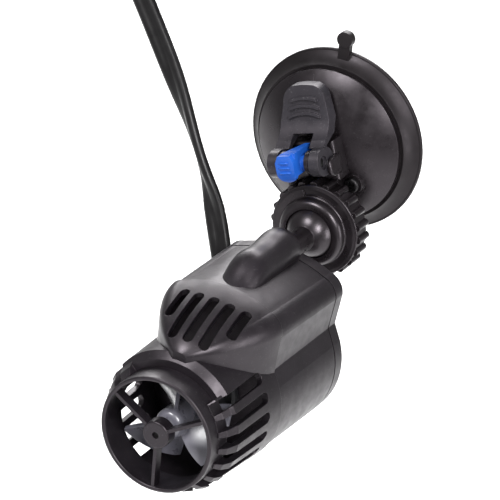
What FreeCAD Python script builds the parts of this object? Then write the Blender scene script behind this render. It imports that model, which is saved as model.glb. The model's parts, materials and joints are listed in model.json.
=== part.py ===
"""Wave maker pump on a lever-locked suction cup.

World frame, millimetres: the origin is the centre of the cup's sealing face, the glass is the
plane Y = 0, the pump points to -Y and +Z is the pump's own up.
"""
import FreeCAD, Part
import math
import os

V = FreeCAD.Vector
PARTS = "parts"

# ---- driving dimensions -------------------------------------------------------------------
# Suction cup mount, measured from the glass (h) and from the cup's centre line
CUP_R = 30.0
CUP_SEAL_INNER_R = 24.0
CUP_TOP_H = 4.8
CUP_CLOCKING = 2.6          # the pull tab leans this many degrees from the pump's up
BRACKET_CLOCKING = 20.4     # the bracket and lever lean this many degrees the same way
DOME_R = 43.4
DOME_APEX_H = 14.1
DOME_EDGE_R = 24.6
DOME_WALL = 2.0

PIN_U = 0.3                 # lever pin: place along the bracket, and height off the glass
PIN_H = 26.5
PIN_R = 1.3
HUB_R = 4.3
CAM_OFFSET = 2.0
BASE_TOP_H = 19.5
CHEEK_U = -2.4              # round-topped cheeks beside the lever
CHEEK_H = 22.4
CHEEK_R = 3.1
CHEEK_OUTER_X = 10.5
SLOT_HALF_X = 5.6
SLOT_HALF_U = 3.9
LUG_INNER_X = 3.8
LUG_OUTER_X = 5.2
BARREL_INNER_X = 5.6
BARREL_OUTER_X = 9.0
RUN_FIT = 0.06              # radial play of turning fits

SCREW_X = 9.8               # screws that hold the bracket to the dome
SCREW_U = -11.5

BALL_U = -22.4              # ball joint centre in the bracket's frame
BALL_H = 24.5
BALL_R = 8.7
SEAT_INNER_R = 9.0
SEAT_OUTER_R = 9.8
SOCKET_INNER_R = 10.1
SOCKET_R = 12.2
SOCKET_RIM_H = 23.5
COLLAR_R = 14.6
COLLAR_RIB_R = 1.2
COLLAR_RIBS = 22

# Pump, measured from the ring's front (d, towards the glass) and from the rotor's axis (x, z)
PUMP_ORIGIN = V(7.81, -117.5, -54.4)
RING_R = 18.7
RING_BORE_R = 17.3
CAGE_FRONT_D = 8.0
CAGE_NOSE_R = 20.2          # the sloping shoulder runs from here to the drum's side
CAGE_SHOULDER_D = 10.3
CAGE_FRONT_R = 22.4
CAGE_FRONT_Z = 1.0
CAGE_R = 23.4
CAGE_WALL = 2.0
SEAM_D = 36.0
HOUSING_REAR_D = 70.5
GASKET_T = 0.6
CAP_REAR_D = 75.5
HOUSING_WALL = 2.2
BULKHEAD_T = 2.5
FRONT_SCALE = 0.985
REAR_SCALE = 1.02
REAR_ARCH = 0.87            # the arch is this much lower at the back
WAIST_Z = 14.3
HOOD_TOP_Z = 36.2
HOOD_BASE_Z = 23.0
HOOD_HALF_W = 19.7
HOOD_LENGTH = 28.0
HOOD_POWER = 1.5
HOOD_WALL = 1.8
SPOKE_ANGLES = (33.7, 151.0, -86.3)
RIGHT_SLOT_ANGLES = (-58.0, -42.0, -26.0, -10.0, 6.0, 22.0, 38.0)
LEFT_SLOT_ANGLES = (-54.5, -38.0, -22.0, -5.5, 11.0, 27.5)
SIDE_SLOT_W = 3.7
STEM_R = 3.9
STEM_HEAD_R = 5.0
STEM_Z = 33.4               # stem axis above the rotor's axis
STEM_D = 93.0               # ball centre behind the ring's front
WELL_R = 8.6
WELL_BORE_R = 7.4
SHAFT_R = 1.5
BLADE_TIP_R = 15.8
BLADE_D = 14.0
BLADE_ANGLES = (4.0, 124.0, 244.0)
SCREW_XZ = ((14.5, 25.8), (-14.5, 25.8), (14.5, -13.0), (-14.5, -13.0))

# Cord: a flat twin lead, its route in world coordinates
CORD_D = 7.0
CORD_LENGTH = 1500.0
GLAND_XZ = (-15.0, -4.0)
BOOT_DIRECTION = V(-0.45, 0.38, 0.81)
CORD_ROUTE = [
    V(-18.0, -32.9, -39.0),
    V(-24.9, -28.9, -23.6),
    V(-34.6, -26.2, -7.4),
    V(-46.4, -22.4, 8.6),
    V(-59.8, -18.2, 24.3),
    V(-74.6, -13.2, 40.2),
    V(-91.0, -9.0, 57.0),
]
COIL_CENTRE = V(-61.0, -9.0, 83.0)
COIL_MEAN_R = 38.5
COIL_HALF_THICK = 6.3
COIL_HALF_WIDE = 7.4
PLUG_LENGTH = 36.0
PLUG_THICK = 13.7

# ---- placing ------------------------------------------------------------------------------


def off_glass(clocking):
    """Local z points off the glass and local y up the bracket, turned by the clocking."""
    turn = FreeCAD.Placement(V(0, 0, 0), FreeCAD.Rotation(V(0, 1, 0), -clocking))
    stand = FreeCAD.Placement(V(0, 0, 0), FreeCAD.Rotation(V(1, 0, 0), 90))
    return turn.multiply(stand)


CUP_PLACE = off_glass(CUP_CLOCKING)
BRACKET_PLACE = off_glass(BRACKET_CLOCKING)
PUMP_PLACE = FreeCAD.Placement(PUMP_ORIGIN, FreeCAD.Rotation())
BALL_LOCAL = V(0, BALL_U, BALL_H)
COLLAR_AXIS = V(0, BALL_U, 0)


def write(name, shape, place=None):
    """Write one node's STEP file, moved to its place in the world."""
    if isinstance(shape, list):
        shape = Part.makeCompound(shape)
    moved = shape.copy()
    if place is not None:
        moved.Placement = place.multiply(moved.Placement)
    moved.exportStep("%s/%s.step" % (PARTS, name))
    print("%-16s solids %d  valid %s  volume %.0f" % (
        name, len(moved.Solids), moved.isValid(), moved.Volume))


# ---- shapes from outlines -----------------------------------------------------------------

def loop(points, lift):
    """Closed wire through the points; a pair of points is an arc's middle and its end."""
    edges = []
    here = points[0]
    for step in points[1:] + [points[0]]:
        if isinstance(step[0], tuple):
            edges.append(Part.Arc(lift(here), lift(step[0]), lift(step[1])).toShape())
            here = step[1]
        elif lift(step).distanceToPoint(lift(here)) > 1e-6:
            edges.append(Part.makeLine(lift(here), lift(step)))
            here = step
    return Part.Wire(edges)


def turned(points, centre=V(0, 0, 0), angle=360.0):
    """Solid of revolution about local z from an outline in (radius, height)."""
    face = Part.Face(loop(points, lambda p: V(p[0], 0, p[1]) + centre))
    return face.revolve(centre, V(0, 0, 1), angle)


def spun(points, angle=360.0, start=0.0):
    """Solid of revolution about the pump's axis from an outline in (radius, depth)."""
    face = Part.Face(loop(points, lambda p: V(p[0], p[1], 0)))
    face.rotate(V(0, 0, 0), V(0, 1, 0), -start)
    return face.revolve(V(0, 0, 0), V(0, 1, 0), -angle)


def box(x0, x1, y0, y1, z0, z1):
    return Part.makeBox(x1 - x0, y1 - y0, z1 - z0, V(x0, y0, z0))


def rod(radius, start, end):
    axis = end.sub(start)
    return Part.makeCylinder(radius, axis.Length, start, axis)


def side_prism(points, half_x, x_end=None):
    """Extrude an outline in (u, h) across x."""
    left = -half_x
    right = half_x if x_end is None else x_end
    face = Part.Face(loop(points, lambda p: V(left, p[0], p[1])))
    return face.extrude(V(right - left, 0, 0))


def plan_prism(points, h0, h1):
    """Extrude an outline in (x, u) off the glass."""
    face = Part.Face(loop(points, lambda p: V(p[0], p[1], h0)))
    return face.extrude(V(0, 0, h1 - h0))


def softened(shape, radius, keep):
    """Fillet the edges that keep() picks, or leave the shape as it is where that fails."""
    edges = [edge for edge in shape.Edges if keep(edge)]
    try:
        rounded = shape.makeFillet(radius, edges)
        if rounded.isValid() and len(rounded.Solids) == len(shape.Solids):
            return rounded
    except Exception:
        pass
    print("a fillet of %.1f was left out" % radius)
    return shape


# ---- suction cup mount --------------------------------------------------------------------

def suction_cup():
    """Rubber cup: sealing ring, shallow hollow, raised lip, and a pull tab at the rim."""
    recess_r = 12.0
    body = turned([
        (0, 1.3), ((14.0, 1.0), (CUP_SEAL_INNER_R, 0)), (CUP_R, 0), (CUP_R, 0.4),
        ((29.8, 0.85), (29.3, 1.0)), ((27.1, 2.9), (25.7, 5.0)), (24.9, CUP_TOP_H),
        (recess_r, CUP_TOP_H), (recess_r, 3.0), (0, 3.0),
    ])
    tab_h = 2.6
    neck = box(-1.9, 1.9, 27.5, 34.0, 0.4, tab_h)
    pad = Part.makeCylinder(2.6, tab_h, V(0, 34.2, 0.4))
    return body.fuse([neck, pad]).removeSplitter()


def dome_cap(radius, apex_h):
    return Part.makeSphere(radius, V(0, 0, apex_h - DOME_R))


def post_slot(grow, h0, h1):
    """Slot that the cup post slides in."""
    half_x = SLOT_HALF_X + grow
    half_u = SLOT_HALF_U + grow
    return box(-half_x, half_x, -half_u, half_u, h0, h1)


def screw_places():
    return [V(side * SCREW_X, SCREW_U, 0) for side in (-1, 1)]


def dome_cover():
    """Stiff dome over the rubber, with the slot for the post."""
    centre_h = DOME_APEX_H - DOME_R
    shell = Part.makeSphere(DOME_R, V(0, 0, centre_h))
    shell = shell.cut(Part.makeSphere(DOME_R - DOME_WALL, V(0, 0, centre_h)))
    trim = Part.makeCylinder(DOME_EDGE_R, 20.0, V(0, 0, CUP_TOP_H))
    dome = shell.common(trim).cut(post_slot(0.0, 0, 30))
    for place in screw_places():
        dome = dome.cut(rod(1.2, place, place + V(0, 0, 30)))
    return dome


def cup_post():
    """Foot plate, column and the two lugs that carry the lever pin."""
    foot = turned([(0, 5.2), (10.4, 5.2), (11.0, 5.8), (11.0, 6.3), (10.4, 6.8), (0, 6.8)])
    column = Part.makeCylinder(3.4, 10.0, V(0, 0, 6.0))
    crosshead = box(-LUG_OUTER_X, LUG_OUTER_X, PIN_U - 3.0, PIN_U + 3.0, 15.0, 18.5)
    parts = [column, crosshead]
    for side in (-1, 1):
        inner = V(side * LUG_INNER_X, PIN_U, PIN_H)
        outer = V(side * LUG_OUTER_X, PIN_U, PIN_H)
        low, high = sorted((inner.x, outer.x))
        parts.append(box(low, high, PIN_U - 3.0, PIN_U + 3.0, 18.0, PIN_H))
        parts.append(rod(3.9, inner, outer))
    return foot.fuse(parts).removeSplitter().cut(pin_hole(PIN_R))


def pin_hole(radius):
    return rod(radius, V(-20, PIN_U, PIN_H), V(20, PIN_U, PIN_H))


def lever_pin():
    half = BARREL_OUTER_X - 0.8
    pin = rod(PIN_R, V(-half, PIN_U, PIN_H), V(half, PIN_U, PIN_H))
    return pin.makeChamfer(0.25, [pin.Edges[0], pin.Edges[2]])


def lever_plan(inset):
    """Plan outline of the lever, wide at its hub and narrowing to a rounded tip."""
    top_u = 22.1 - inset
    half = 8.6 - inset
    tip = 4.6 - inset
    return [
        (-half, -6.0), (half, -6.0), (half, 11.4), (7.4 - inset, 17.2),
        ((6.3 - inset, 20.4), (tip - 0.6, top_u)), ((0, top_u + 0.3), (0.6 - tip, top_u)),
        ((inset - 6.3, 20.4), (inset - 7.4, 17.2)), (-half, 11.4),
    ]


def lever():
    """Cam lever: two barrels on the pin, a forked neck and a hollow thumb pad."""
    blade = side_prism([
        (PIN_U, 28.6), (3.4, 26.6), ((4.6, 24.6), (6.3, 22.6)), ((8.3, 20.2), (11.4, 18.2)),
        ((17.0, 16.6), (22.6, 15.7)), (22.6, 11.6), ((17.0, 12.2), (11.4, 13.4)), (7.0, 16.0),
        (4.7, 22.0), (PIN_U, 24.0),
    ], 12.0).common(plan_prism(lever_plan(0.0), 5, 40))
    pocket = side_prism([
        (9.8, 16.9), ((10.6, 16.6), (11.9, 16.2)), ((17.0, 14.7), (20.6, 14.0)),
        (20.6, 5.0), (9.8, 5.0),
    ], 12.0).common(plan_prism(lever_plan(1.7), 5, 40))
    body = blade.cut(pocket)
    barrels = []
    for side in (-1, 1):
        for height in (PIN_H, PIN_H - CAM_OFFSET):
            barrels.append(rod(HUB_R, V(side * BARREL_INNER_X, PIN_U, height),
                               V(side * BARREL_OUTER_X, PIN_U, height)))
        low, high = sorted((side * BARREL_INNER_X, side * BARREL_OUTER_X))
        barrels.append(box(low, high, PIN_U - HUB_R, PIN_U + HUB_R, PIN_H - CAM_OFFSET, PIN_H))
    lug_room = rod(4.5, V(0.3 - BARREL_INNER_X, PIN_U, PIN_H), V(BARREL_INNER_X - 0.3, PIN_U, PIN_H))
    lug_room = lug_room.fuse(box(-5.4, 5.4, -8.0, 3.9, 10, PIN_H))
    fork = box(-3.6, 3.6, -8.0, 8.0, 10, 40)
    body = body.cut(lug_room).fuse(barrels + grip_ribs()).cut(fork).cut(pin_hole(PIN_R + RUN_FIT))
    for side in (-1, 1):
        recess_x = side * (BARREL_OUTER_X - 0.8)
        body = body.cut(rod(2.2, V(recess_x, PIN_U, PIN_H), V(side * 20, PIN_U, PIN_H)))
    return body.removeSplitter()


def grip_ribs():
    """Three curved ribs across the thumb pad."""
    ribs = []
    bend_r = 14.0
    slab = side_prism([
        (11.4, 17.0), (11.4, 19.0), ((17.0, 17.4), (22.4, 16.5)), (22.4, 14.9),
        ((17.0, 15.8), (11.4, 17.0)),
    ], 12.0)
    for top_u, half in ((18.4, 4.8), (16.1, 5.3), (13.8, 5.6)):
        centre = V(0, top_u - bend_r, 5)
        ring = Part.makeCylinder(bend_r + 0.45, 30, centre)
        ring = ring.cut(Part.makeCylinder(bend_r - 0.45, 30, centre))
        ribs.append(ring.common(box(-half, half, top_u - 3, top_u + 3, 5, 35)).common(slab))
    return ribs


def latch():
    """Safety latch: hub on the lever pin, a wedge through the fork and a rounded thumb head."""
    hub = rod(2.6, V(-3.1, PIN_U, PIN_H), V(3.1, PIN_U, PIN_H))
    wedge = plan_outline_prism([(-3.1, 31.2), (1.9, 31.2), (1.9, 20.6), (0.1, 20.6)], 1.6, 5.0)
    web = side_prism([(-2.2, PIN_H), (4.4, PIN_H), (4.4, 31.4), (-2.2, 31.4)], 3.1, 1.9)
    swing_r = 6.9
    below = box(-5, 5, -6, PIN_U, 28, 36).cut(rod(swing_r, V(-6, PIN_U, PIN_H), V(6, PIN_U, PIN_H)))
    head = latch_head(30.8, PIN_H + swing_r).cut(below)
    return hub.fuse([wedge, web, head]).cut(pin_hole(PIN_R + RUN_FIT)).removeSplitter()


def plan_outline_prism(points, u0, u1):
    """Extrude an outline in (x, h) up the bracket."""
    face = Part.Face(loop(points, lambda p: V(p[0], u0, p[1])))
    return face.extrude(V(0, u1 - u0, 0))


def latch_head(h0, h1):
    """The latch's thumb head: tapered towards the top, with a rounded lower end."""
    outline = [
        (-3.2, 4.8), (0.8, 4.8), (1.9, 3.0), (1.9, -1.6), ((1.2, -3.2), (-0.4, -4.0)),
        ((-1.3, -4.2), (-2.2, -4.0)), ((-3.7, -3.2), (-4.4, -1.6)), (-4.4, 2.6),
    ]
    return plan_prism(outline, h0, h1)


def bracket():
    """Base over the dome, cheeks beside the lever, arm and ball socket."""
    base = box(-9.2, 9.2, -8.0, 5.0, 5.0, BASE_TOP_H)
    base = softened(base, 1.2, lambda edge: edge.CenterOfMass.z > BASE_TOP_H - 0.1)
    cheeks = box(-CHEEK_OUTER_X, CHEEK_OUTER_X, CHEEK_U - CHEEK_R, CHEEK_U + CHEEK_R, 18.2, CHEEK_H)
    cheek_end = V(CHEEK_OUTER_X, CHEEK_U, CHEEK_H)
    cheeks = cheeks.fuse(rod(CHEEK_R, V(-CHEEK_OUTER_X, CHEEK_U, CHEEK_H), cheek_end))
    cheeks = softened(cheeks.removeSplitter(), 0.7,
                      lambda edge: abs(edge.CenterOfMass.x) > CHEEK_OUTER_X - 0.1)
    cheeks = cheeks.cut(box(-9.3, 9.3, -9, 9, BASE_TOP_H - 0.3, 30))
    arm = box(-7.0, 7.0, -25.0, -5.0, 8.2, 17.0)
    socket = turned([
        (0, 11.2), (9.6, 11.2), ((11.5, 12.0), (SOCKET_R, 13.8)), (SOCKET_R, SOCKET_RIM_H),
        (0, SOCKET_RIM_H),
    ], COLLAR_AXIS)
    bosses = [rod(3.2, place + V(0, 0, 5), place + V(0, 0, 13.0)) for place in screw_places()]
    body = base.fuse([cheeks, arm] + bosses)
    swing_room = Part.makeCylinder(COLLAR_R + COLLAR_RIB_R + 0.5, 30, COLLAR_AXIS + V(0, 0, 17.0))
    body = body.cut(swing_room).fuse(socket)
    body = body.cut(dome_cap(DOME_R, DOME_APEX_H)).cut(post_slot(0.0, 0, 30))
    body = body.cut(Part.makeSphere(SOCKET_INNER_R, BALL_LOCAL))
    for place in screw_places():
        body = body.cut(rod(1.2, place, place + V(0, 0, 30)))
    return body.removeSplitter()


def bracket_screws():
    """Two pan-head screws that hold the bracket to the dome."""
    screws = []
    for place in screw_places():
        head = turned([(0, 13.0), (2.4, 13.0), ((2.3, 14.0), (1.5, 14.5)), (0, 14.6)], place)
        cross = box(-1.3, 1.3, -0.3, 0.3, 13.9, 15).fuse(box(-0.3, 0.3, -1.3, 1.3, 13.9, 15))
        cross.translate(place)
        shank = rod(1.2, place + V(0, 0, 7.4), place + V(0, 0, 13.2))
        screws.append(head.cut(cross).fuse(shank).removeSplitter())
    return screws


def collar_nut():
    """Ribbed ring nut whose lip holds the ball."""
    lip_h = BALL_H + 4.0
    lip_r = math.sqrt(SEAT_INNER_R ** 2 - 4.0 ** 2)
    ledge_r = SOCKET_INNER_R + 0.1
    bore_r = SOCKET_R + 0.3
    body = turned([
        (bore_r, 17.5), (COLLAR_R, 17.5), (COLLAR_R, 23.8), ((14.9, 24.2), (14.4, 24.7)),
        (13.6, 25.0), (11.5, 25.3), ((11.2, 25.5), (11.1, 26.2)), ((10.6, 27.7), (9.0, lip_h)),
        (lip_r, lip_h), ((8.75, BALL_H + 2.1), (SEAT_INNER_R - 0.01, BALL_H + 0.45)),
        (ledge_r, BALL_H + 0.45), (ledge_r, 23.9), (bore_r, 23.9),
    ], COLLAR_AXIS)
    ribs = []
    for index in range(COLLAR_RIBS):
        angle = 2 * math.pi * index / COLLAR_RIBS
        foot = COLLAR_AXIS + V(COLLAR_R * math.cos(angle), COLLAR_R * math.sin(angle), 17.5)
        ribs.append(Part.makeCylinder(COLLAR_RIB_R, 6.3, foot))
    body = body.fuse(ribs)
    for start in (40.0, 220.0):
        groove = turned([(11.6, 24.5), (13.4, 24.5), (13.4, 27), (11.6, 27)], V(0, 0, 0), 55.0)
        groove.rotate(V(0, 0, 0), V(0, 0, 1), start)
        groove.translate(COLLAR_AXIS)
        body = body.cut(groove)
    return body.removeSplitter()


def ball_seat():
    """Thin spherical bearing shell between the ball and the socket."""
    shell = Part.makeSphere(SEAT_OUTER_R, BALL_LOCAL).cut(Part.makeSphere(SEAT_INNER_R, BALL_LOCAL))
    low = BALL_H - SEAT_OUTER_R * math.sin(math.radians(72))
    high = BALL_H - SEAT_OUTER_R * math.sin(math.radians(22))
    return shell.common(Part.makeCylinder(12, high - low, COLLAR_AXIS + V(0, 0, low)))


# ---- pump body ----------------------------------------------------------------------------

def ball_stem():
    """Ball with its stem; the stem's head turns in the pocket in the housing's ridge."""
    centre = V(0, STEM_D, STEM_Z)
    ball = Part.makeSphere(BALL_R, centre)
    stem = rod(STEM_R, V(0, 62.0, STEM_Z), V(0, STEM_D, STEM_Z))
    head = rod(STEM_HEAD_R, V(0, 61.6, STEM_Z), V(0, 64.0, STEM_Z))
    return ball.fuse([stem, head]).removeSplitter()


def body_outline(scale, depth, arch=1.0):
    """Pump body's outline at one depth: wide arch, waist and round lower lobe."""
    points = [
        (-15.0, 32.7), ((0, HOOD_TOP_Z), (15.0, 32.7)), ((18.6, 30.2), (20.0, 26.0)),
        (19.0, WAIST_Z), (21.6, 9.0), ((0, -CAGE_R), (-21.6, 9.0)), (-19.0, WAIST_Z), (-20.0, 26.0),
        ((-18.6, 30.2), (-15.0, 32.7)),
    ]
    return loop(points, lambda p: V(p[0] * scale, depth, arch_height(p[1], arch) * scale))


def arch_height(z, arch):
    """Heights above the waist, lowered by the arch's share."""
    return z if z < WAIST_Z else WAIST_Z + (z - WAIST_Z) * arch


def rear_outline(depth):
    return body_outline(REAR_SCALE, depth, REAR_ARCH)


def prism_between(wire_a, wire_b):
    return Part.makeLoft([wire_a, wire_b], True, True)


def shrunk(wire, amount):
    return wire.makeOffset2D(-amount)


def hood_shape(d):
    """How far the hood has risen at depth d: 0 at the nose, 1 at the seam."""
    u = (SEAM_D - d) / HOOD_LENGTH
    return (1 - u ** HOOD_POWER) ** (1 / HOOD_POWER)


def hood_section(d, inset):
    """Hood outline at depth d, closed by a flat bottom inside the cage's drum."""
    f = hood_shape(d)
    half = HOOD_HALF_W * f - inset
    top = HOOD_BASE_Z + (HOOD_TOP_Z - HOOD_BASE_Z) * f - inset
    shoulder_z = top - 3.4 * f
    side_z = top - 10.0 * f
    foot_z = 13.0 + 6.0 * (1 - f)
    return loop([
        (-0.76 * half, shoulder_z), ((0, top), (0.76 * half, shoulder_z)),
        ((0.94 * half, shoulder_z - 2.4 * f), (half, side_z)), (0.97 * half, foot_z),
        (-0.97 * half, foot_z), (-half, side_z),
        ((-0.94 * half, shoulder_z - 2.4 * f), (-0.76 * half, shoulder_z)),
    ], lambda p: V(p[0], d, p[1]))


def hood(inset, first_d, last_d):
    depths = [first_d, first_d + 1.5, 14.0, 19.0, 25.0, 31.0, last_d]
    return Part.makeLoft([hood_section(d, inset) for d in depths], True, False)


def drum(rims):
    """Tapered drum through (radius, depth) rims that share the cage's slight upward shift."""
    circles = []
    for radius, d in rims:
        rise = CAGE_FRONT_Z * (SEAM_D - d) / (SEAM_D - CAGE_FRONT_D)
        circles.append(Part.Wire(Part.makeCircle(radius, V(0, d, rise), V(0, 1, 0))))
    return Part.makeLoft(circles, True, True)


def side_slot(angle, mirror):
    """One round-ended slot through the drum's side, open at the front."""
    half = SIDE_SLOT_W / 2
    end_d = 29.0 - half
    slot = box(RING_R, 27.0, 3.0, end_d, -half, half)
    slot = slot.fuse(rod(half, V(RING_R, end_d, 0), V(27.0, end_d, 0)))
    slot.rotate(V(0, 0, 0), V(0, 1, 0), -angle)
    if mirror:
        slot = slot.mirror(V(0, 0, 0), V(1, 0, 0))
    slot.translate(V(0, 0, CAGE_FRONT_Z / 2))
    return slot


def side_slots():
    right = [side_slot(angle, False) for angle in RIGHT_SLOT_ANGLES]
    left = [side_slot(angle, True) for angle in LEFT_SLOT_ANGLES]
    return right + left


def hood_slot(index):
    """One of five long slots in the hood, cut square to its sloping chord."""
    half = 1.65
    start, end = (21.8, 40.7) if abs(index) < 2 else (29.2, 41.1)
    low, high = 13.0, 26.0
    slot = box(-half, half, start + half, end - half, low, high)
    for s in (start + half, end - half):
        slot = slot.fuse(rod(half, V(0, s, low), V(0, s, high)))
    slot.rotate(V(0, 0, 0), V(1, 0, 0), math.degrees(math.atan2(0.42, 0.907)))
    slot.translate(V(5.3 * index, 0, 0))
    return slot


def shoulder_ribs():
    """Fill in front of the drum's shoulder on each side; the slots cut it into ribs."""
    outline = [(RING_R, 4.5), (RING_R + 0.4, 4.5), (20.9, 6.4), (22.2, 10.0), (RING_R, 10.0)]
    return [spun(outline, 112.0, start) for start in (-66.0, 134.0)]


def spokes():
    """Three thin blades from the hub to the ring."""
    blades = []
    for angle in SPOKE_ANGLES:
        blade = box(3.2, RING_BORE_R + 0.6, 0.5, 3.8, -0.55, 0.55)
        blade.rotate(V(0, 0, 0), V(0, 1, 0), -angle)
        blades.append(blade)
    return blades


def outlet_ring():
    """Thin outlet nozzle with three spokes and the hub that seats the front bush."""
    ring = spun([
        (RING_BORE_R, 0.5), ((RING_BORE_R + 0.15, 0.15), (RING_BORE_R + 0.5, 0)),
        (RING_R - 0.5, 0), ((RING_R - 0.15, 0.15), (RING_R, 0.5)), (RING_R, 10.0),
        (RING_BORE_R, 10.0),
    ])
    hub = spun([
        (1.1, 0), (3.9, 0), ((4.25, 0.15), (4.4, 0.5)), (4.4, 4.2), (3.0, 4.2), (3.0, 1.2),
        (1.1, 1.2),
    ])
    return ring.fuse([hub] + spokes()).cut(rod(3.0, V(0, 1.2, 0), V(0, 4.2, 0))).removeSplitter()


def cage_drum():
    return drum([(CAGE_NOSE_R, CAGE_FRONT_D), (CAGE_FRONT_R, CAGE_SHOULDER_D), (CAGE_R, SEAM_D)])


def front_cage():
    """Intake drum behind the outlet ring, with slotted sides and ribs on its shoulder."""
    hollow = drum([(CAGE_FRONT_R - CAGE_WALL, CAGE_FRONT_D + 2.0), (CAGE_R - CAGE_WALL, SEAM_D)])
    body = cage_drum().fuse(shoulder_ribs())
    body = body.cut(hollow).cut(hood(HOOD_WALL, CAGE_FRONT_D + 3.2, SEAM_D))
    body = body.cut(rod(RING_R, V(0, 1.0, 0), V(0, 14.0, 0)))
    for slot in side_slots() + [hood_slot(index) for index in range(-2, 3)]:
        body = body.cut(slot)
    return body


def intake_hood():
    """Arched, slotted hood that stands on the drum and widens the intake upwards."""
    body = hood(0.0, CAGE_FRONT_D + 0.7, SEAM_D).cut(hood(HOOD_WALL, CAGE_FRONT_D + 3.2, SEAM_D))
    body = body.cut(cage_drum()).cut(box(-30, 30, SEAM_D, SEAM_D + 20, -30, 50))
    for slot in [hood_slot(index) for index in range(-2, 3)] + side_slots():
        body = body.cut(slot)
    return max(body.Solids, key=lambda solid: solid.Volume)


def ridge():
    """Half-round ridge on the housing's back that takes the stem, with a sloping front."""
    def circle(radius, d, z):
        return Part.Wire(Part.makeCircle(radius, V(0, d, z), V(0, 1, 0)))
    return Part.makeLoft([circle(4.6, 37.0, 30.9), circle(5.5, 41.0, 32.2), circle(6.2, 45.5, 34.7),
                          circle(6.35, 49.0, 35.9), circle(6.35, 53.0, 36.0), circle(6.35, 60.0, 36.0),
                          circle(6.35, HOUSING_REAR_D, 36.0)], True, False)


def main_housing():
    """Motor shell: front bulkhead with the rotor well's hole, ridge, and corner screw posts."""
    front = body_outline(FRONT_SCALE, SEAM_D)
    rear = rear_outline(HOUSING_REAR_D)
    outer = prism_between(front, rear)
    cavity_front = shrunk(body_outline(FRONT_SCALE, SEAM_D + BULKHEAD_T), HOUSING_WALL)
    cavity_rear = shrunk(rear, HOUSING_WALL)
    cavity = prism_between(cavity_front, cavity_rear)
    shell = outer.fuse(ridge()).cut(cavity)
    stem_boss = rod(6.4, V(0, 60.4, STEM_Z), V(0, HOUSING_REAR_D, STEM_Z)).cut(
        box(-8, 8, 50, 80, 20, 27.3))
    posts = [rod(3.0, V(x, 60.0, z), V(x, HOUSING_REAR_D, z)) for x, z in SCREW_XZ]
    shell = shell.fuse([stem_boss] + posts).common(outer.fuse(ridge()))
    shell = shell.cut(rod(STEM_R + RUN_FIT, V(0, 63.0, STEM_Z), V(0, 90, STEM_Z)))
    shell = shell.cut(rod(STEM_HEAD_R + 0.3, V(0, 61.3, STEM_Z), V(0, 64.3, STEM_Z)))
    shell = shell.cut(rod(WELL_R, V(0, 30, 0), V(0, 45, 0)))
    shell = shell.cut(o_ring_solid())
    for x, z in SCREW_XZ:
        shell = shell.cut(rod(1.25, V(x, 61.0, z), V(x, 90, z)))
    return shell


def stem_notch():
    """Room for the stem where it passes over the back cap."""
    half = STEM_R + 1.0
    return rod(half, V(0, 70, STEM_Z), V(0, 80, STEM_Z)).fuse(box(-half, half, 70, 80, STEM_Z, 45))


def cap_gasket():
    """Flat gasket between the housing and the back cap."""
    plate = prism_between(shrunk(rear_outline(HOUSING_REAR_D), 0.5),
                          shrunk(rear_outline(HOUSING_REAR_D + GASKET_T), 0.5))
    inner = prism_between(shrunk(rear_outline(HOUSING_REAR_D), HOUSING_WALL),
                          shrunk(rear_outline(HOUSING_REAR_D + GASKET_T), HOUSING_WALL))
    return plate.cut(inner).cut(stem_notch()).removeSplitter()


def back_cap():
    """Closing plate with four screw seats, the stem notch and the gland's seat."""
    front_d = HOUSING_REAR_D + GASKET_T
    plate = prism_between(rear_outline(front_d), rear_outline(CAP_REAR_D))
    plate = plate.cut(stem_notch())
    for x, z in SCREW_XZ:
        plate = plate.cut(rod(1.6, V(x, 60, z), V(x, 90, z)))
        plate = plate.cut(rod(3.1, V(x, CAP_REAR_D - 2.2, z), V(x, 90, z)))
    return plate


def cap_screws():
    """Four pan-head screws through the back cap."""
    screws = []
    for x, z in SCREW_XZ:
        seat_d = CAP_REAR_D - 2.2
        head = rod(2.8, V(x, seat_d, z), V(x, CAP_REAR_D - 0.4, z))
        slot_a = box(x - 1.6, x + 1.6, CAP_REAR_D - 1.3, CAP_REAR_D, z - 0.35, z + 0.35)
        slot_b = box(x - 0.35, x + 0.35, CAP_REAR_D - 1.3, CAP_REAR_D, z - 1.6, z + 1.6)
        shank = rod(1.25, V(x, 61.5, z), V(x, seat_d + 0.2, z))
        screws.append(head.cut(slot_a).cut(slot_b).fuse(shank).removeSplitter())
    return screws


# ---- motor --------------------------------------------------------------------------------

def rotor_well():
    """Sealed can that keeps water off the winding."""
    rear_d = 61.5
    return spun([
        (WELL_BORE_R, 34.0), (WELL_R, 34.0), (WELL_R, SEAM_D + BULKHEAD_T),
        (13.0, SEAM_D + BULKHEAD_T), (13.0, 40.5), (WELL_R, 40.5), (WELL_R, rear_d - 0.8),
        (WELL_R - 0.8, rear_d), (0, rear_d), (0, 60.0), (WELL_BORE_R, 60.0),
    ])


def o_ring_solid():
    d = SEAM_D + BULKHEAD_T
    return spun([(10.0, d - 1.1), (11.8, d - 1.1), (11.8, d), (10.0, d)])


def stator_core():
    """Laminated core: pole ring round the well, window and crossbar for the winding."""
    block = box(-14.5, 14.5, 43.0, 58.0, -13.0, 25.2)
    block = block.cut(rod(WELL_R + 0.15, V(0, 40, 0), V(0, 60, 0)))
    return block.cut(box(-8.4, 8.4, 40, 60, 13.0, 20.0))


def coil():
    """Moulded winding round the core's crossbar."""
    block = box(-8.2, 8.2, 41.0, 60.0, 17.6, 27.6)
    block = softened(block, 1.6, lambda edge: edge.BoundBox.XLength > 10)
    return block.cut(box(-20, 20, 43.0, 58.0, 20.0, 25.2))


def rotor_magnet():
    return spun([(2.7, 41.0), (6.3, 41.0), (6.6, 41.3), (6.6, 56.7), (6.3, 57.0), (2.7, 57.0)])


def rotor_sleeve():
    return spun([(SHAFT_R + 0.05, 18.0), (2.7, 18.0), (2.7, 57.8), (SHAFT_R + 0.05, 57.8)])


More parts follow.
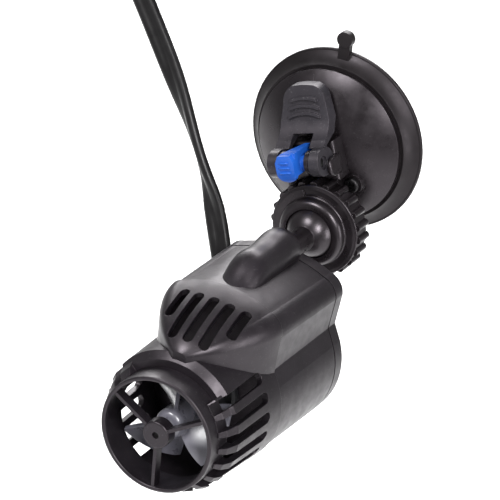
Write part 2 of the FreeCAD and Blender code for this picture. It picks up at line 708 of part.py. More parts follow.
def blade(angle):
    """One wide propeller blade, twisted from root to tip, with rounded corners."""
    sections = []
    for radius, chord, pitch in ((3.0, 8.0, 62.0), (9.0, 17.0, 43.0), (16.4, 22.0, 32.0)):
        half = chord / 2
        thick = 0.65
        along = V(0, math.sin(math.radians(pitch)), math.cos(math.radians(pitch)))
        across = V(0, math.cos(math.radians(pitch)), -math.sin(math.radians(pitch)))
        centre = V(radius, BLADE_D, 0)
        corners = [(-1, -1), (1, -1), (1, 1), (-1, 1)]
        ring = [centre + along * (half * a) + across * (thick * b) for a, b in corners]
        sections.append(Part.makePolygon(ring + [ring[0]]))
    wing = Part.makeLoft(sections, True, False)
    wing = wing.common(rod(11.8, V(4.8, BLADE_D - 15, 0), V(4.8, BLADE_D + 15, 0)))
    wing.rotate(V(0, 0, 0), V(0, 1, 0), angle)
    return wing


def propeller():
    """Three-bladed propeller on its hub."""
    bore = SHAFT_R + 0.05
    hub = spun([(bore, 7.4), (2.4, 7.4), ((4.0, 7.9), (4.8, 9.4)), (4.8, 21.0), (bore, 21.0)])
    wings = [blade(angle) for angle in BLADE_ANGLES]
    body = hub.fuse(wings)
    body = body.common(rod(BLADE_TIP_R, V(0, 6.0, 0), V(0, 26.0, 0)))
    body = body.cut(rod(bore, V(0, 5, 0), V(0, 30, 0)))
    return body.cut(rod(2.7, V(0, 18.0, 0), V(0, 30, 0))).removeSplitter()


def ceramic_shaft():
    return rod(SHAFT_R, V(0, 1.4, 0), V(0, 59.4, 0))


def front_bush():
    return spun([(0, 1.2), (3.0, 1.2), (3.0, 4.2), (SHAFT_R, 4.2), (SHAFT_R, 1.4), (0, 1.4)])


def rear_bush():
    return spun([(0, 60.0), (5.0, 60.0), (5.0, 58.6), (SHAFT_R, 58.6), (SHAFT_R, 59.4), (0, 59.4)])


# ---- cord ---------------------------------------------------------------------------------

def unit(vector):
    return vector.multiply(1.0 / vector.Length)


def oval(centre, axis, wide_dir, half_wide, half_thick):
    """Oval wire square to the axis, its long way along wide_dir."""
    wide = unit(wide_dir.sub(axis * wide_dir.dot(axis)))
    return Part.Wire(Part.Ellipse(centre + wide * half_wide, centre + axis.cross(wide) * half_thick,
                                  centre).toShape())


def cord_gland():
    """Boss on the back cap with a tapered boot that points up past the ridge."""
    x, z = GLAND_XZ
    seat = PUMP_ORIGIN + V(x, CAP_REAR_D, z)
    boss = rod(5.6, seat, seat + V(0, 2.6, 0))
    direction = unit(V(*BOOT_DIRECTION))
    wide_dir = V(1, 0, 0)
    root = seat + direction * 1.0 + V(0, 1.0, 0)
    end = CORD_ROUTE[0]
    boot_axis = unit(end.sub(root))
    root_wire = oval(root, boot_axis, wide_dir, 5.2, 4.0)
    end_wire = oval(end, boot_axis, wide_dir, 4.3, 3.6)
    boot = Part.makeLoft([root_wire, end_wire], True, True)
    keep = box(-60, 60, seat.y, 0, -90, 0)
    return boss.fuse(boot).common(keep).removeSplitter()


def rounded_route(points):
    """Straight runs joined by tangent arcs; also returns the arcs' radii."""
    edges = []
    radii = []
    here = points[0]
    for before, corner, after in zip(points, points[1:], points[2:]):
        into = unit(corner.sub(before))
        out = unit(after.sub(corner))
        half_turn = into.getAngle(out) / 2
        trim = 0.45 * min(corner.distanceToPoint(before), after.distanceToPoint(corner))
        radii.append(trim / math.tan(half_turn))
        start = corner - into * trim
        end = corner + out * trim
        inward = unit(out - into)
        middle = corner + inward * (radii[-1] / math.cos(half_turn) - radii[-1])
        edges.append(Part.LineSegment(here, start).toShape())
        edges.append(Part.Arc(start, middle, end).toShape())
        here = end
    edges.append(Part.LineSegment(here, points[-1]).toShape())
    return Part.Wire(edges), radii


def coil_outline():
    """Section of the put-away turns: a rounded rectangle in (radius, depth)."""
    inner = COIL_MEAN_R - COIL_HALF_THICK
    outer = COIL_MEAN_R + COIL_HALF_THICK
    near = -COIL_HALF_WIDE
    far = COIL_HALF_WIDE
    soft = 3.0
    return [
        (inner + soft, near), (outer - soft, near), ((outer - 0.9, near + 0.9), (outer, near + soft)),
        (outer, far - soft), ((outer - 0.9, far - 0.9), (outer - soft, far)), (inner + soft, far),
        ((inner + 0.9, far - 0.9), (inner, far - soft)), (inner, near + soft),
        ((inner + 0.9, near + 0.9), (inner + soft, near)),
    ]


def cord_coil():
    """The put-away turns as one closed ring beside the glass plane."""
    ring = spun(coil_outline())
    ring.translate(COIL_CENTRE)
    return ring


def cord_tie():
    """Band round the coil at its upper left."""
    grow = 0.9
    inner = COIL_MEAN_R - COIL_HALF_THICK - grow
    outer = COIL_MEAN_R + COIL_HALF_THICK + grow
    wide = COIL_HALF_WIDE + grow
    band = spun([(inner, -wide), (outer, -wide), (outer, wide), (inner, wide)], 9.0, 130.0)
    band.translate(COIL_CENTRE)
    return band.cut(cord_coil())


def cord_run():
    """Free stretch of the cord from the boot to the coil."""
    path, radii = rounded_route(CORD_ROUTE)
    start_dir = unit(CORD_ROUTE[1].sub(CORD_ROUTE[0]))
    section = Part.Wire(Part.makeCircle(CORD_D / 2, CORD_ROUTE[0], start_dir))
    tube = path.makePipeShell([section], True, True)
    ideal = math.pi * (CORD_D / 2) ** 2 * path.Length
    print("cord run length %.1f, volume ratio %.4f" % (path.Length, tube.Volume / ideal))
    print("cord run radii " + ", ".join("%.0f" % radius for radius in radii))
    turns = (CORD_LENGTH - path.Length) / (2 * math.pi * COIL_MEAN_R)
    print("coil turns %.2f" % turns)
    run = tube.cut(cord_coil()).cut(cord_gland())
    run = run.cut(cord_tie())
    solids = sorted(run.Solids, key=lambda solid: -solid.Volume)
    return solids[0]


def plug_body():
    """Flat two-pin plug lying on the coil, with its own short boot."""
    front_y = COIL_CENTRE.y - COIL_HALF_WIDE
    middle = V(COIL_CENTRE.x + 8.0, front_y - PLUG_THICK / 2, COIL_CENTRE.z + COIL_MEAN_R)
    along = V(1, 0, 0)

    def section(offset, half_wide, half_thick, drop=0.0):
        centre = middle + along * offset + V(0, drop, 0)
        corner = min(half_thick * 0.6, 3.0)
        w, t = half_wide, half_thick
        return loop([
            (-w, -t + corner), ((-w + 0.3 * corner, -t + 0.3 * corner), (-w + corner, -t)),
            (w - corner, -t),
            ((w - 0.3 * corner, -t + 0.3 * corner), (w, -t + corner)), (w, t - corner),
            ((w - 0.3 * corner, t - 0.3 * corner), (w - corner, t)), (-w + corner, t),
            ((-w + 0.3 * corner, t - 0.3 * corner), (-w, t - corner)),
        ], lambda p: centre + V(0, p[1], p[0]))
    half_thick = PLUG_THICK / 2
    body = Part.makeLoft([
        section(0, 5.6, 4.4), section(9, 11.0, half_thick), section(20, 15.6, half_thick),
        section(PLUG_LENGTH, 17.6, half_thick),
    ], True, True)
    boot = Part.makeLoft([section(-14, 4.2, 2.8, 0.0), section(1, 5.0, 3.8)], True, True)
    return body.fuse(boot).cut(cord_coil()).removeSplitter()


def plug_pins():
    """Two round pins at the plug's face."""
    face_x = COIL_CENTRE.x + 8.0 + PLUG_LENGTH
    middle_y = COIL_CENTRE.y - COIL_HALF_WIDE - PLUG_THICK / 2
    pins = []
    for side in (-1, 1):
        start = V(face_x, middle_y, COIL_CENTRE.z + COIL_MEAN_R + side * 9.3)
        pin = rod(2.0, start, start + V(19.0, 0, 0))
        pins.append(softened(pin, 0.9, lambda edge: edge.BoundBox.XMin > face_x + 18.9))
    return pins


# ---- write every node ---------------------------------------------------------------------

def main():
    os.makedirs(PARTS, exist_ok=True)
    write("suction_cup", suction_cup(), CUP_PLACE)
    for name, make in (
        ("dome_cover", dome_cover), ("bracket", bracket), ("bracket_screws", bracket_screws),
        ("cup_post", cup_post), ("lever_pin", lever_pin), ("lever", lever), ("latch", latch),
        ("collar_nut", collar_nut), ("ball_seat", ball_seat),
    ):
        write(name, make(), BRACKET_PLACE)
    for name, make in (
        ("ball_stem", ball_stem), ("outlet_ring", outlet_ring), ("front_cage", front_cage),
        ("intake_hood", intake_hood), ("main_housing", main_housing),
        ("back_cap", back_cap), ("cap_gasket", cap_gasket), ("cap_screws", cap_screws),
        ("rotor_well", rotor_well), ("well_o_ring", o_ring_solid), ("stator_core", stator_core),
        ("coil", coil), ("rotor_magnet", rotor_magnet), ("rotor_sleeve", rotor_sleeve),
        ("propeller", propeller), ("ceramic_shaft", ceramic_shaft), ("front_bush", front_bush),
        ("rear_bush", rear_bush),
    ):
        write(name, make(), PUMP_PLACE)
    for name, make in (
        ("cord_gland", cord_gland), ("cord_run", cord_run), ("cord_coil", cord_coil),
        ("cord_tie", cord_tie), ("plug_body", plug_body), ("plug_pins", plug_pins),
    ):
        write(name, make())


main()
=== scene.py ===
"""Looks for the wave maker pump: camera, light, cord, materials and moulded detail."""
import json
import math
import random

import bmesh
import bpy
from mathutils import Matrix, Vector


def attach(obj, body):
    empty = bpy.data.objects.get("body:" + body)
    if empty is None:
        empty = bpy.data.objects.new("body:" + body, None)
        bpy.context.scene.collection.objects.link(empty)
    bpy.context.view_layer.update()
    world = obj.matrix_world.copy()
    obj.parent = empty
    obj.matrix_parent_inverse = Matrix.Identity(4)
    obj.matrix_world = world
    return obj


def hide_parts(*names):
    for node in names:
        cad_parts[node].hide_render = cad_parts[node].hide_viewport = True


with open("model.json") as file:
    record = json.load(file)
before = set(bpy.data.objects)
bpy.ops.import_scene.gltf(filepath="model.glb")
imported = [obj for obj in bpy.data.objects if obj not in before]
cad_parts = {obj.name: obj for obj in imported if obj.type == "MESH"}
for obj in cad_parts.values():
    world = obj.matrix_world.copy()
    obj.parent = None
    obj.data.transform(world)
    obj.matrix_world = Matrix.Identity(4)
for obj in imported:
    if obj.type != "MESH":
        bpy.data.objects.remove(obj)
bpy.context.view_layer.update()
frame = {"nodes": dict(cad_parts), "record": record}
NODES = frame["nodes"]
MM = 0.001

# ---- camera --------------------------------------------------------------------------------
CAM_PLACE = Vector((0.4107, -0.9531, 0.4751))
CAM_RIGHT = Vector((0.8721, 0.4710, 0.1327))
CAM_UP = Vector((-0.3187, 0.3410, 0.8844))
CAM_BACK = Vector((0.3713, -0.8136, 0.4475))
CAM_LENS = 259.2
SENSOR = 36.0

# ---- the mount's frame: x' across the bracket, u up it, h off the glass ------------------------
CLOCKING = math.radians(20.4)
ACROSS = Vector((math.cos(CLOCKING), 0, math.sin(CLOCKING)))
UP = Vector((-math.sin(CLOCKING), 0, math.cos(CLOCKING)))
OFF_GLASS = Vector((0, -1, 0))

# ---- raised ribs on the latch's thumb face, in millimetres; each rib: u and half length ---------
BAR_SIDES = 20
BAR_TOP_SHRINK = 0.45
BAR_WALL_SHARE = 0.3
BAR_END_POWER = 0.35
BAR_SIDE_POWER = 0.8
LATCH_FACE_H = 33.4
LATCH_RIB_X = -1.3
LATCH_RIB_HALF_WIDTH = 0.40
LATCH_RIB_HALF_TALL = 0.62
LATCH_RIBS = ((2.6, 1.5), (1.0, 1.9), (-0.6, 1.9))

# ---- mould line on the dome, from the lever's tip to the rim, in millimetres --------------------
MOULD_LINE_X = 0.0
MOULD_LINE_U = (16.0, 23.6)
MOULD_LINE_STEPS = 16
MOULD_LINE_R = 0.13
MOULD_LINE_SIDES = 8
ABOVE_DOME_H = 60.0

# ---- studio: a dim dome, four softboxes, and one light for the patch of floor behind ------------
# each softbox: name, direction from the middle, distance, size and power
FLOOR_Z = -0.45
FLOOR_HALF = 12.0
FLOOR_LOW = (0.90, 0.90, 0.90)
FLOOR_HIGH = (0.93, 0.93, 0.93)
MIDDLE = Vector((0.0, -0.05, -0.02))
WORLD_STRENGTH = 0.30
WARM_SHEEN = (1.0, 0.90, 0.98, 1.0)
SOFTBOXES = (
    ("front_soft", (0.56, -0.62, 0.55), 1.50, (0.38, 0.60), 21.0),
    ("key_top", (-0.32, -0.58, 0.75), 1.20, (0.45, 0.32), 12.0),
    ("back_rim", (-0.52, 0.80, 0.30), 1.10, (0.80, 0.22), 4.0),
    ("side_right", (0.95, -0.10, 0.10), 1.10, (0.25, 0.60), 5.0),
)
WASH_PLACE = (-0.36, 0.73, 0.55)
WASH_AIM = (-0.36, 0.73, FLOOR_Z)
WASH_SIZE = (0.8, 0.8)
WASH_POWER = 16.0

# ---- cord, in metres: the free route is the CAD tube's, and the coil is its own -----------------
CORD_WIDTH = 0.0070
CORD_THICK = 0.0033
CORD_LEAST_STEP = 0.0004
CORD_ROUTE = [
    Vector((-0.0180, -0.0329, -0.0390)),
    Vector((-0.0249, -0.0289, -0.0236)),
    Vector((-0.0346, -0.0262, -0.0074)),
    Vector((-0.0464, -0.0224, 0.0086)),
    Vector((-0.0598, -0.0182, 0.0243)),
    Vector((-0.0746, -0.0132, 0.0402)),
    Vector((-0.0910, -0.0090, 0.0570)),
]
COIL_CENTRE = Vector((-0.0610, -0.0090, 0.0830))
COIL_LAYERS = ((0.0420, 0.0036), (0.0385, 0.0036), (0.0350, 0.0036),
               (0.0350, -0.0036), (0.0385, -0.0036), (0.0420, -0.0036))
COIL_STEPS = 16
COIL_START = math.radians(205)
COIL_TURNS = 5.30
COIL_UNEVEN = 0.0002
PUT_AWAY_FROM = 0.16
PLUG_LEAD_IN = [Vector((-0.0745, -0.0165, 0.1190)), Vector((-0.0700, -0.0215, 0.1213))]
PLUG_ENTRY = Vector((-0.0650, -0.02325, 0.1215))
PLUG_DEPTH = Vector((0.002, 0, 0))

# which way the flat cord's width points, by the height that its run has reached
WIDTH_KEYS = [
    (-0.039, Vector((1, 0, 0))),
    (-0.030, Vector((1, 0.2, 0))),
    (-0.008, CAM_BACK),
    (0.020, Vector((0.75, 0.20, 0.60))),
    (0.036, Vector((0.75, 0.20, 0.60))),
    (0.056, Vector((0.1, 1, 0.1))),
]


def mount_point(x, u, h):
    """World point of a place in the mount's frame, given in millimetres."""
    return (ACROSS * x + UP * u + OFF_GLASS * h) * MM


# ---- camera, floor and light -------------------------------------------------------------------

def add_camera():
    data = bpy.data.cameras.new("camera")
    data.lens = CAM_LENS
    data.sensor_width = SENSOR
    data.clip_start = 0.05
    data.clip_end = 20.0
    camera = bpy.data.objects.new("camera", data)
    rows = [[CAM_RIGHT[i], CAM_UP[i], CAM_BACK[i], CAM_PLACE[i]] for i in range(3)]
    camera.matrix_world = Matrix(rows + [[0, 0, 0, 1]])
    bpy.context.scene.collection.objects.link(camera)
    bpy.context.scene.camera = camera


def add_area(name, place, aim, size, power):
    data = bpy.data.lights.new(name, "AREA")
    data.shape = "RECTANGLE"
    data.size, data.size_y = size
    data.energy = power
    light = bpy.data.objects.new(name, data)
    light.location = place
    light.rotation_mode = "QUATERNION"
    light.rotation_quaternion = (Vector(aim) - Vector(place)).to_track_quat("-Z", "Y")
    bpy.context.scene.collection.objects.link(light)


def add_floor():
    mesh = bpy.data.meshes.new("floor")
    half = FLOOR_HALF
    corners = [(-half, -half), (half, -half), (half, half), (-half, half)]
    mesh.from_pydata([(x, y, FLOOR_Z) for x, y in corners], [], [(0, 1, 2, 3)])
    floor = bpy.data.objects.new("floor", mesh)
    bpy.context.scene.collection.objects.link(floor)
    floor.data.materials.append(floor_material())


def floor_material():
    material, nodes, links, shader = blank_material("studio_floor")
    shader.inputs["Roughness"].default_value = 0.9
    shader.inputs["Specular IOR Level"].default_value = 0.1
    noise = nodes.new("ShaderNodeTexNoise")
    noise.inputs["Scale"].default_value = 3.0
    ramp = colour_ramp(nodes, FLOOR_LOW, FLOOR_HIGH)
    links.new(noise.outputs["Fac"], ramp.inputs["Fac"])
    links.new(ramp.outputs["Color"], shader.inputs["Base Color"])
    return material


def add_studio():
    scene = bpy.context.scene
    scene.view_settings.view_transform = "Standard"
    scene.view_settings.look = "None"
    world = bpy.data.worlds.new("studio")
    scene.world = world
    world.use_nodes = True
    background = world.node_tree.nodes["Background"]
    background.inputs["Color"].default_value = (1, 1, 1, 1)
    background.inputs["Strength"].default_value = WORLD_STRENGTH
    for name, direction, distance, size, power in SOFTBOXES:
        place = MIDDLE + Vector(direction).normalized() * distance
        add_area(name, place, MIDDLE, size, power)
    add_area("floor_wash", WASH_PLACE, WASH_AIM, WASH_SIZE, WASH_POWER)


# ---- material helpers --------------------------------------------------------------------------

def blank_material(name):
    material = bpy.data.materials.new(name)
    material.use_nodes = True
    nodes = material.node_tree.nodes
    shader = nodes["Principled BSDF"]
    return material, nodes, material.node_tree.links, shader


def colour_ramp(nodes, low, high, start=0.35, end=0.65):
    ramp = nodes.new("ShaderNodeValToRGB")
    ramp.color_ramp.elements[0].position = start
    ramp.color_ramp.elements[0].color = (*low, 1)
    ramp.color_ramp.elements[1].position = end
    ramp.color_ramp.elements[1].color = (*high, 1)
    return ramp


def object_noise(nodes, links, scale, detail=3.0, rough=0.55):
    where = nodes.new("ShaderNodeTexCoord")
    noise = nodes.new("ShaderNodeTexNoise")
    noise.inputs["Scale"].default_value = scale
    noise.inputs["Detail"].default_value = detail
    noise.inputs["Roughness"].default_value = rough
    links.new(where.outputs["Object"], noise.inputs["Vector"])
    return noise


def map_range(nodes, low, high, start=0.3, end=0.7):
    node = nodes.new("ShaderNodeMapRange")
    node.inputs["From Min"].default_value = start
    node.inputs["From Max"].default_value = end
    node.inputs["To Min"].default_value = low
    node.inputs["To Max"].default_value = high
    return node


def moulded(name, dark, light, rough, grain=2600.0, grain_depth=0.012, edge=0.00025,
            specular=0.5, coat=0.0, speckle=0.0, warm=False):
    """Moulded plastic or rubber: cloudy colour, fine grain, uneven gloss and softened edges."""
    material, nodes, links, shader = blank_material(name)
    shader.inputs["Specular IOR Level"].default_value = specular
    if warm:
        shader.inputs["Specular Tint"].default_value = WARM_SHEEN
    shader.inputs["Coat Weight"].default_value = coat
    shader.inputs["Coat Roughness"].default_value = 0.18
    cloud = object_noise(nodes, links, 90.0, 4.0)
    ramp = colour_ramp(nodes, dark, light)
    links.new(cloud.outputs["Fac"], ramp.inputs["Fac"])
    colour_out = ramp.outputs["Color"]
    if speckle:
        dots = object_noise(nodes, links, 1900.0, 1.0)
        dust = colour_ramp(nodes, (0, 0, 0), (speckle, speckle, speckle), 0.66, 0.74)
        links.new(dots.outputs["Fac"], dust.inputs["Fac"])
        add = nodes.new("ShaderNodeMixRGB")
        add.blend_type = "ADD"
        add.inputs["Fac"].default_value = 1.0
        links.new(colour_out, add.inputs["Color1"])
        links.new(dust.outputs["Color"], add.inputs["Color2"])
        colour_out = add.outputs["Color"]
    links.new(colour_out, shader.inputs["Base Color"])
    smear = object_noise(nodes, links, 260.0, 5.0)
    gloss = map_range(nodes, rough - 0.06, rough + 0.08)
    links.new(smear.outputs["Fac"], gloss.inputs["Value"])
    links.new(gloss.outputs["Result"], shader.inputs["Roughness"])
    soft_edge = nodes.new("ShaderNodeBevel")
    soft_edge.samples = 6
    soft_edge.inputs["Radius"].default_value = edge
    texture = object_noise(nodes, links, grain, 2.0)
    bump = nodes.new("ShaderNodeBump")
    bump.inputs["Strength"].default_value = 0.35
    bump.inputs["Distance"].default_value = grain_depth * MM
    links.new(texture.outputs["Fac"], bump.inputs["Height"])
    links.new(soft_edge.outputs["Normal"], bump.inputs["Normal"])
    links.new(bump.outputs["Normal"], shader.inputs["Normal"])
    return material


def metal(name, dark, light, rough, scale=700.0):
    """Metal with fine uneven polish."""
    material, nodes, links, shader = blank_material(name)
    shader.inputs["Metallic"].default_value = 1.0
    cloud = object_noise(nodes, links, scale, 4.0)
    ramp = colour_ramp(nodes, dark, light)
    links.new(cloud.outputs["Fac"], ramp.inputs["Fac"])
    links.new(ramp.outputs["Color"], shader.inputs["Base Color"])
    gloss = map_range(nodes, rough - 0.06, rough + 0.1)
    links.new(cloud.outputs["Fac"], gloss.inputs["Value"])
    links.new(gloss.outputs["Result"], shader.inputs["Roughness"])
    bump = nodes.new("ShaderNodeBump")
    bump.inputs["Strength"].default_value = 0.2
    bump.inputs["Distance"].default_value = 0.01 * MM
    links.new(cloud.outputs["Fac"], bump.inputs["Height"])
    links.new(bump.outputs["Normal"], shader.inputs["Normal"])
    return material


def make_materials():
    """One procedural material for each slot that the record names."""
    return {
        "pump_plastic": moulded("pump_plastic", (0.0046, 0.0036, 0.0048), (0.0080, 0.0064, 0.0084), 0.37,
                                speckle=0.022, specular=0.52, warm=True),
        "mount_plastic": moulded("mount_plastic", (0.0044, 0.0034, 0.0040), (0.0076, 0.0060, 0.0070), 0.31,
                                 speckle=0.012, specular=0.55, warm=True),
        "lever_plastic": moulded("lever_plastic", (0.012, 0.011, 0.014), (0.019, 0.018, 0.022), 0.40,
                                 speckle=0.04, specular=0.60, warm=True),
        "cup_rubber": moulded("cup_rubber", (0.0046, 0.0038, 0.0040), (0.0085, 0.0072, 0.0076), 0.42,
                              grain=1500.0, grain_depth=0.02, specular=0.30, warm=True),
        "latch_plastic": moulded("latch_plastic", (0.009, 0.075, 0.38), (0.013, 0.105, 0.50), 0.34,
                                 specular=0.35, grain_depth=0.03),
        "propeller_plastic": moulded("propeller_plastic", (0.110, 0.108, 0.132), (0.150, 0.146, 0.176),
                                     0.30, specular=0.9, coat=0.5),
        "seat_plastic": moulded("seat_plastic", (0.62, 0.62, 0.59), (0.72, 0.72, 0.69), 0.4),
        "seal_rubber": moulded("seal_rubber", (0.006, 0.006, 0.006), (0.011, 0.011, 0.011), 0.5),
        "gland_rubber": moulded("gland_rubber", (0.006, 0.006, 0.006), (0.011, 0.011, 0.011), 0.45),
        "cord_jacket": moulded("cord_jacket", (0.0065, 0.0060, 0.0064), (0.0110, 0.0104, 0.0110), 0.34,
                               grain=1800.0, grain_depth=0.015, specular=0.32),
        "tie_plastic": moulded("tie_plastic", (0.02, 0.02, 0.02), (0.035, 0.035, 0.035), 0.45),
        "plug_plastic": moulded("plug_plastic", (0.008, 0.008, 0.009), (0.014, 0.014, 0.015), 0.4),
        "well_plastic": moulded("well_plastic", (0.012, 0.012, 0.014), (0.020, 0.020, 0.022), 0.4),
        "winding": metal("winding", (0.45, 0.16, 0.05), (0.65, 0.27, 0.10), 0.35),
        "magnet": moulded("magnet", (0.03, 0.03, 0.033), (0.05, 0.05, 0.055), 0.5),
        "shaft_ceramic": moulded("shaft_ceramic", (0.62, 0.62, 0.59), (0.72, 0.72, 0.69), 0.25),
        "core_steel": metal("core_steel", (0.32, 0.32, 0.33), (0.45, 0.45, 0.46), 0.45),
        "screw_steel": metal("screw_steel", (0.52, 0.52, 0.53), (0.66, 0.66, 0.67), 0.3),
        "screw_black": metal("screw_black", (0.022, 0.021, 0.022), (0.040, 0.038, 0.040), 0.42),
        "pin_steel": metal("pin_steel", (0.10, 0.10, 0.10), (0.18, 0.18, 0.18), 0.35),
        "pin_nickel": metal("pin_nickel", (0.60, 0.58, 0.54), (0.72, 0.70, 0.66), 0.2),
    }


def dress_nodes(materials):
    """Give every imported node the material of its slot."""
    for part in frame["record"]["subparts"]:
        node = NODES[part["node"]]
        node.data.materials.clear()
        node.data.materials.append(materials[part["material_slot"]])


# ---- cord --------------------------------------------------------------------------------------

def coil_points():
    """Control points of the put-away turns, back column first, then the front column."""
    rng = random.Random(7)
    points = []
    steps = int(round(COIL_TURNS * COIL_STEPS))
    swell = 1.0 / math.cos(math.pi / COIL_STEPS) ** 0.7
    for index in range(steps + 1):
        turn = index / COIL_STEPS
        layer = min(int(turn), len(COIL_LAYERS) - 1)
        blend = min(1.0, (turn - layer) * 3.0)
        radius, offset = COIL_LAYERS[layer]
        if layer:
            before = COIL_LAYERS[layer - 1]
            radius = before[0] + (radius - before[0]) * blend
            offset = before[1] + (offset - before[1]) * blend
        angle = COIL_START - 2 * math.pi * turn
        radius = (radius + rng.uniform(-COIL_UNEVEN, COIL_UNEVEN)) * swell
        points.append(COIL_CENTRE + Vector((radius * math.cos(angle), offset, radius * math.sin(angle))))
    return points


def cord_points():
    return CORD_ROUTE + coil_points() + PLUG_LEAD_IN + [PLUG_ENTRY, PLUG_ENTRY + PLUG_DEPTH]


def spline_line(points, name):
    """The smooth line of a NURBS spline through its control points, as a list of points."""
    curve = bpy.data.curves.new(name, "CURVE")
    curve.dimensions = "3D"
    curve.resolution_u = 10
    spline = curve.splines.new("NURBS")
    spline.points.add(len(points) - 1)
    for place, point in zip(spline.points, points):
        place.co = (*point, 1)
    spline.order_u = 3
    spline.use_endpoint_u = True
    holder = bpy.data.objects.new(name, curve)
    bpy.context.scene.collection.objects.link(holder)
    bpy.context.view_layer.update()
    mesh = bpy.data.meshes.new_from_object(holder)
    line = [vertex.co.copy() for vertex in mesh.vertices]
    bpy.data.objects.remove(holder)
    bpy.data.meshes.remove(mesh)
    return line


def twist_guide(z, travelled):
    """Which way the flat cord's width points along its run."""
    if travelled > PUT_AWAY_FROM or z >= WIDTH_KEYS[-1][0]:
        return Vector((0, 1, 0))
    for (z0, a), (z1, b) in zip(WIDTH_KEYS, WIDTH_KEYS[1:]):
        if z <= z1:
            share = max(0.0, (z - z0) / (z1 - z0))
            share = share * share * (3 - 2 * share)
            if a.dot(b) < 0:
                b = -b
            return a.lerp(b, share)
    return Vector((0, 1, 0))


def twin_profile(segments=10):
    """Outline of a flat twin lead: two round cores side by side with a shallow groove between."""
    core = CORD_THICK / 2
    centre = CORD_WIDTH / 2 - core
    outline = []
    for side in (1, -1):
        for index in range(segments + 1):
            angle = math.radians(-76 + 152 * index / segments)
            x = side * (centre + core * math.cos(angle))
            y = side * core * math.sin(angle)
            outline.append((x, y))
        outline.append((side * centre * 0.45, side * core * 0.93))
        outline.append((0.0, side * core * 0.66))
        outline.append((-side * centre * 0.45, side * core * 0.93))
    return outline


def sweep(name, line, profile, guide):
    """Closed tube along the line with a given outline turned by a guide direction."""
    verts, faces = [], []
    travelled = 0.0
    last_wide = None
    for index, point in enumerate(line):
        before = line[max(0, index - 1)]
        after = line[min(len(line) - 1, index + 1)]
        travelled += (point - before).length
        along = (after - before).normalized()
        wide = guide(point.z, travelled)
        wide = (wide - along * wide.dot(along)).normalized()
        if last_wide is not None and wide.dot(last_wide) < 0:
            wide = -wide
        last_wide = wide
        thin = along.cross(wide)
        verts += [point + wide * x + thin * y for x, y in profile]
    count = len(profile)
    for ring in range(len(line) - 1):
        a, b = ring * count, (ring + 1) * count
        for k in range(count):
            n = (k + 1) % count
            faces.append((a + k, a + n, b + n, b + k))
    faces.append(tuple(range(count - 1, -1, -1)))
    last = (len(line) - 1) * count
    faces.append(tuple(range(last, last + count)))
    return mesh_object(name, verts, faces)


def mesh_object(name, verts, faces):
    """A smooth-shaded object from its points and faces, with its normals pointing outwards."""
    mesh = bpy.data.meshes.new(name)
    mesh.from_pydata([tuple(v) for v in verts], [], faces)
    mesh.update()
    bm = bmesh.new()
    bm.from_mesh(mesh)
    bmesh.ops.recalc_face_normals(bm, faces=bm.faces)
    bm.to_mesh(mesh)
    bm.free()
    for face in mesh.polygons:
        face.use_smooth = True
    thing = bpy.data.objects.new(name, mesh)
    bpy.context.scene.collection.objects.link(thing)
    return thing


def distinct(line, apart):
    """The line without points that almost coincide."""
    kept = [line[0]]
    for point in line[1:]:
        if (point - kept[-1]).length > apart:
            kept.append(point)
    return kept


def add_cord(materials):
    line = distinct(spline_line(cord_points(), "cord_route"), CORD_LEAST_STEP)
    lead = sweep("twin_lead", line, twin_profile(), twist_guide)
    lead.data.materials.append(materials["cord_jacket"])
    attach(lead, "pump")
    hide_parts("cord_run", "cord_coil")


# ---- moulded detail ----------------------------------------------------------------------------

def squared(value, power):
    """A sine or cosine pushed towards its ends, which squares off a round outline."""
    return math.copysign(abs(value) ** power, value)


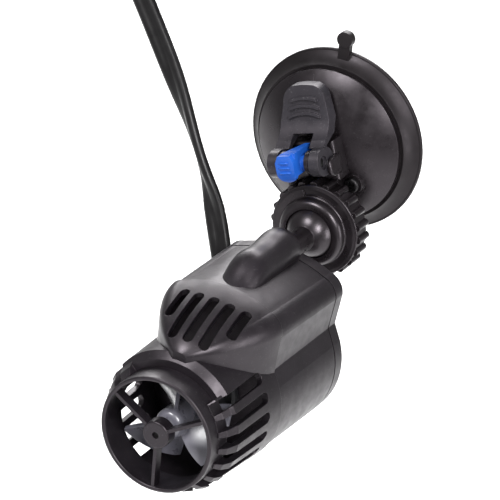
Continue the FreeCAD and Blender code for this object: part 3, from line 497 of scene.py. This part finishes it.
def soft_bar(verts, half_long, half_wide, half_tall, place):
    """Add one bar with a narrower top to verts, in the mount's frame, and return its faces."""
    first = len(verts)
    levels = ((-half_tall, 0.0), (half_tall * BAR_WALL_SHARE, 0.0), (half_tall, BAR_TOP_SHRINK))
    for h, shrink in levels:
        for k in range(BAR_SIDES):
            angle = 2 * math.pi * k / BAR_SIDES
            along = (half_long - shrink * half_wide) * squared(math.cos(angle), BAR_END_POWER)
            across = half_wide * (1 - shrink) * squared(math.sin(angle), BAR_SIDE_POWER)
            verts.append(mount_point(place[0] + along, place[1] + across, place[2] + h))
    faces = []
    for ring in range(2):
        a = first + ring * BAR_SIDES
        for k in range(BAR_SIDES):
            n = (k + 1) % BAR_SIDES
            faces.append((a + k, a + n, a + BAR_SIDES + n, a + BAR_SIDES + k))
    faces.append(tuple(range(first + BAR_SIDES - 1, first - 1, -1)))
    faces.append(tuple(range(first + 2 * BAR_SIDES, first + 3 * BAR_SIDES)))
    return faces


def add_latch_ribs(materials):
    """Plain raised ribs across the latch's thumb face."""
    verts, faces = [], []
    for u, half_long in LATCH_RIBS:
        faces += soft_bar(verts, half_long, LATCH_RIB_HALF_WIDTH, LATCH_RIB_HALF_TALL,
                          (LATCH_RIB_X, u, LATCH_FACE_H))
    ribs = mesh_object("latch_ribs", verts, faces)
    ribs.data.materials.append(materials["latch_plastic"])
    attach(ribs, "latch")


def add_mould_line(materials):
    """Thin raised line that the mould leaves on the dome, laid on the dome's own surface."""
    dome = NODES["dome_cover"]
    to_local = dome.matrix_world.inverted()
    first_u, last_u = MOULD_LINE_U
    line = []
    for step in range(MOULD_LINE_STEPS + 1):
        u = first_u + (last_u - first_u) * step / MOULD_LINE_STEPS
        start = to_local @ mount_point(MOULD_LINE_X, u, ABOVE_DOME_H)
        found, place, _, _ = dome.ray_cast(start, to_local.to_3x3() @ -OFF_GLASS)
        if found:
            line.append(dome.matrix_world @ place)
    ring = [2 * math.pi * k / MOULD_LINE_SIDES for k in range(MOULD_LINE_SIDES)]
    radius = MOULD_LINE_R * MM
    profile = [(radius * math.cos(angle), radius * math.sin(angle)) for angle in ring]
    seam = sweep("dome_mould_line", line, profile, lambda z, travelled: ACROSS.copy())
    seam.data.materials.append(materials["mount_plastic"])
    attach(seam, "root")


# ---- build -------------------------------------------------------------------------------------

add_camera()
add_floor()
add_studio()
MATERIALS = make_materials()
dress_nodes(MATERIALS)
add_cord(MATERIALS)
add_latch_ribs(MATERIALS)
add_mould_line(MATERIALS)
